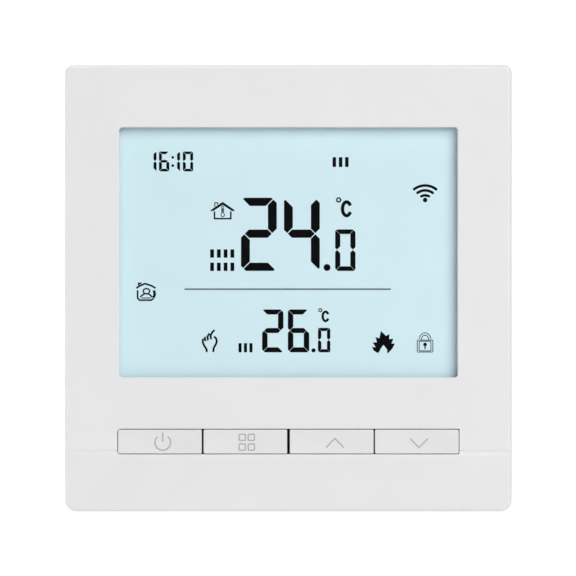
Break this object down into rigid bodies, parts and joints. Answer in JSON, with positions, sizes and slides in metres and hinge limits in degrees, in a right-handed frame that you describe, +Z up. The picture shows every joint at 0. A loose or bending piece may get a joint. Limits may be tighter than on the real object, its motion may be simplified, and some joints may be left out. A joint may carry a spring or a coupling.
{
  "type": "wall thermostat",
  "caption": "Flush-mounted digital room thermostat for a square wall box: backlit segment display, a row of push keys, pull-off front unit, screw terminals behind.",
  "frame": {"origin": "centre of the thermostat's seat on the wall surface", "axes": "-Y out of the wall through the display, +Z up, +X to the right as seen by the user"},
  "size_m": [0.086, 0.0404, 0.086],
  "materials": {
    "white_shell": "fine satin moulded plastic",
    "white_key": "smooth satin plastic",
    "clear_pane": "clear, smooth",
    "display_glass": "pale cyan, evenly backlit, dark segments",
    "light_guide": "milky, smooth",
    "led": "small white package",
    "frame_white": "plain moulded plastic",
    "grey_rubber": "matt",
    "green_board": "solder-resist green",
    "black_plastic": "matt black",
    "tin_shield": "tinned",
    "sensor_epoxy": "black bead",
    "plunger_plastic": "plain",
    "zinc_steel": "zinc plated",
    "housing_white": "plain moulded plastic",
    "relay_blue": "satin blue case",
    "coil_tape": "yellow tape over a dark core",
    "capacitor_sleeve": "dark sleeve",
    "disc_coating": "blue coating",
    "fuse_brown": "brown case",
    "pin_metal": "gold-plated pins in a dark block",
    "terminal_green": "plain moulded plastic",
    "brass": "nickel-free, bright"
  },
  "bodies": {
    "base": {"mounting_plate": "zinc_steel", "rear_housing": "housing_white", "housing_lid": "black_plastic", "power_board": "green_board", "relay": "relay_blue", "transformer": "coil_tape", "bulk_capacitor": "capacitor_sleeve", "varistor": "disc_coating", "fuse": "fuse_brown", "header_pins": "pin_metal", "terminal_block": "terminal_green", "wall_screw_left": "zinc_steel", "wall_screw_right": "zinc_steel", "housing_screw_1": "zinc_steel", "housing_screw_2": "zinc_steel", "housing_screw_3": "zinc_steel", "housing_screw_4": "zinc_steel"},
    "front_unit": {"front_cover": "white_shell", "display_window": "clear_pane", "lcd_panel": "display_glass", "lcd_backlight": "light_guide", "backlight_led_upper": "led", "backlight_led_lower": "led", "lcd_holder": "frame_white", "contact_strip": "grey_rubber", "control_board": "green_board", "controller_chip": "black_plastic", "wifi_module": "tin_shield", "room_sensor": "sensor_epoxy", "board_socket": "black_plastic", "unit_back_plate": "frame_white", "unit_screw_1": "zinc_steel", "unit_screw_2": "zinc_steel", "unit_screw_3": "zinc_steel", "unit_screw_4": "zinc_steel", "switch_body_power": "black_plastic", "switch_body_menu": "black_plastic", "switch_body_up": "black_plastic", "switch_body_down": "black_plastic"},
    "key_power": {"key_power": "white_key"},
    "plunger_power": {"switch_plunger_power": "plunger_plastic"},
    "key_menu": {"key_menu": "white_key"},
    "plunger_menu": {"switch_plunger_menu": "plunger_plastic"},
    "key_up": {"key_up": "white_key"},
    "plunger_up": {"switch_plunger_up": "plunger_plastic"},
    "key_down": {"key_down": "white_key"},
    "plunger_down": {"switch_plunger_down": "plunger_plastic"},
    "terminal_screw_1": {"terminal_screw_1": "zinc_steel"},
    "terminal_clamp_1": {"terminal_clamp_1": "brass"},
    "terminal_screw_2": {"terminal_screw_2": "zinc_steel"},
    "terminal_clamp_2": {"terminal_clamp_2": "brass"},
    "terminal_screw_3": {"terminal_screw_3": "zinc_steel"},
    "terminal_clamp_3": {"terminal_clamp_3": "brass"},
    "terminal_screw_4": {"terminal_screw_4": "zinc_steel"},
    "terminal_clamp_4": {"terminal_clamp_4": "brass"},
    "terminal_screw_5": {"terminal_screw_5": "zinc_steel"},
    "terminal_clamp_5": {"terminal_clamp_5": "brass"},
    "terminal_screw_6": {"terminal_screw_6": "zinc_steel"},
    "terminal_clamp_6": {"terminal_clamp_6": "brass"}
  },
  "joints": [
    {"name": "front_unit_pull", "type": "slide", "parent": "base", "child": "front_unit", "axis": [0, -1, 0], "range_m": [0, 0.02]},
    {"name": "key_power_press", "type": "slide", "parent": "front_unit", "child": "key_power", "axis": [0, 1, 0], "range_m": [0, 0.0003], "stiffness_N_per_m": 3000, "springref_m": -0.0001},
    {"name": "plunger_power_press", "type": "slide", "parent": "front_unit", "child": "plunger_power", "axis": [0, 1, 0], "range_m": [0, 0.0003]},
    {"name": "key_menu_press", "type": "slide", "parent": "front_unit", "child": "key_menu", "axis": [0, 1, 0], "range_m": [0, 0.0003], "stiffness_N_per_m": 3000, "springref_m": -0.0001},
    {"name": "plunger_menu_press", "type": "slide", "parent": "front_unit", "child": "plunger_menu", "axis": [0, 1, 0], "range_m": [0, 0.0003]},
    {"name": "key_up_press", "type": "slide", "parent": "front_unit", "child": "key_up", "axis": [0, 1, 0], "range_m": [0, 0.0003], "stiffness_N_per_m": 3000, "springref_m": -0.0001},
    {"name": "plunger_up_press", "type": "slide", "parent": "front_unit", "child": "plunger_up", "axis": [0, 1, 0], "range_m": [0, 0.0003]},
    {"name": "key_down_press", "type": "slide", "parent": "front_unit", "child": "key_down", "axis": [0, 1, 0], "range_m": [0, 0.0003], "stiffness_N_per_m": 3000, "springref_m": -0.0001},
    {"name": "plunger_down_press", "type": "slide", "parent": "front_unit", "child": "plunger_down", "axis": [0, 1, 0], "range_m": [0, 0.0003]},
    {"name": "terminal_screw_1_turn", "type": "hinge", "parent": "base", "child": "terminal_screw_1", "pos_m": [-0.01905, 0.0242, -0.019], "axis": [0, -1, 0], "range_deg": [0, 1804.8]},
    {"name": "terminal_clamp_1_rise", "type": "slide", "parent": "base", "child": "terminal_clamp_1", "axis": [0, 1, 0], "range_m": [0, 0.0025]},
    {"name": "terminal_screw_2_turn", "type": "hinge", "parent": "base", "child": "terminal_screw_2", "pos_m": [-0.01143, 0.0242, -0.019], "axis": [0, -1, 0], "range_deg": [0, 1804.8]},
    {"name": "terminal_clamp_2_rise", "type": "slide", "parent": "base", "child": "terminal_clamp_2", "axis": [0, 1, 0], "range_m": [0, 0.0025]},
    {"name": "terminal_screw_3_turn", "type": "hinge", "parent": "base", "child": "terminal_screw_3", "pos_m": [-0.00381, 0.0242, -0.019], "axis": [0, -1, 0], "range_deg": [0, 1804.8]},
    {"name": "terminal_clamp_3_rise", "type": "slide", "parent": "base", "child": "terminal_clamp_3", "axis": [0, 1, 0], "range_m": [0, 0.0025]},
    {"name": "terminal_screw_4_turn", "type": "hinge", "parent": "base", "child": "terminal_screw_4", "pos_m": [0.00381, 0.0242, -0.019], "axis": [0, -1, 0], "range_deg": [0, 1804.8]},
    {"name": "terminal_clamp_4_rise", "type": "slide", "parent": "base", "child": "terminal_clamp_4", "axis": [0, 1, 0], "range_m": [0, 0.0025]},
    {"name": "terminal_screw_5_turn", "type": "hinge", "parent": "base", "child": "terminal_screw_5", "pos_m": [0.01143, 0.0242, -0.019], "axis": [0, -1, 0], "range_deg": [0, 1804.8]},
    {"name": "terminal_clamp_5_rise", "type": "slide", "parent": "base", "child": "terminal_clamp_5", "axis": [0, 1, 0], "range_m": [0, 0.0025]},
    {"name": "terminal_screw_6_turn", "type": "hinge", "parent": "base", "child": "terminal_screw_6", "pos_m": [0.01905, 0.0242, -0.019], "axis": [0, -1, 0], "range_deg": [0, 1804.8]},
    {"name": "terminal_clamp_6_rise", "type": "slide", "parent": "base", "child": "terminal_clamp_6", "axis": [0, 1, 0], "range_m": [0, 0.0025]}
  ],
  "couplings": [
    {"joint": "plunger_power_press", "follows": "key_power_press", "ratio": 1},
    {"joint": "plunger_menu_press", "follows": "key_menu_press", "ratio": 1},
    {"joint": "plunger_up_press", "follows": "key_up_press", "ratio": 1},
    {"joint": "plunger_down_press", "follows": "key_down_press", "ratio": 1},
    {"joint": "terminal_screw_1_turn", "follows": "terminal_clamp_1_rise", "rad_per_m": 12566},
    {"joint": "terminal_screw_2_turn", "follows": "terminal_clamp_2_rise", "rad_per_m": 12566},
    {"joint": "terminal_screw_3_turn", "follows": "terminal_clamp_3_rise", "rad_per_m": 12566},
    {"joint": "terminal_screw_4_turn", "follows": "terminal_clamp_4_rise", "rad_per_m": 12566},
    {"joint": "terminal_screw_5_turn", "follows": "terminal_clamp_5_rise", "rad_per_m": 12566},
    {"joint": "terminal_screw_6_turn", "follows": "terminal_clamp_6_rise", "rad_per_m": 12566}
  ]
}
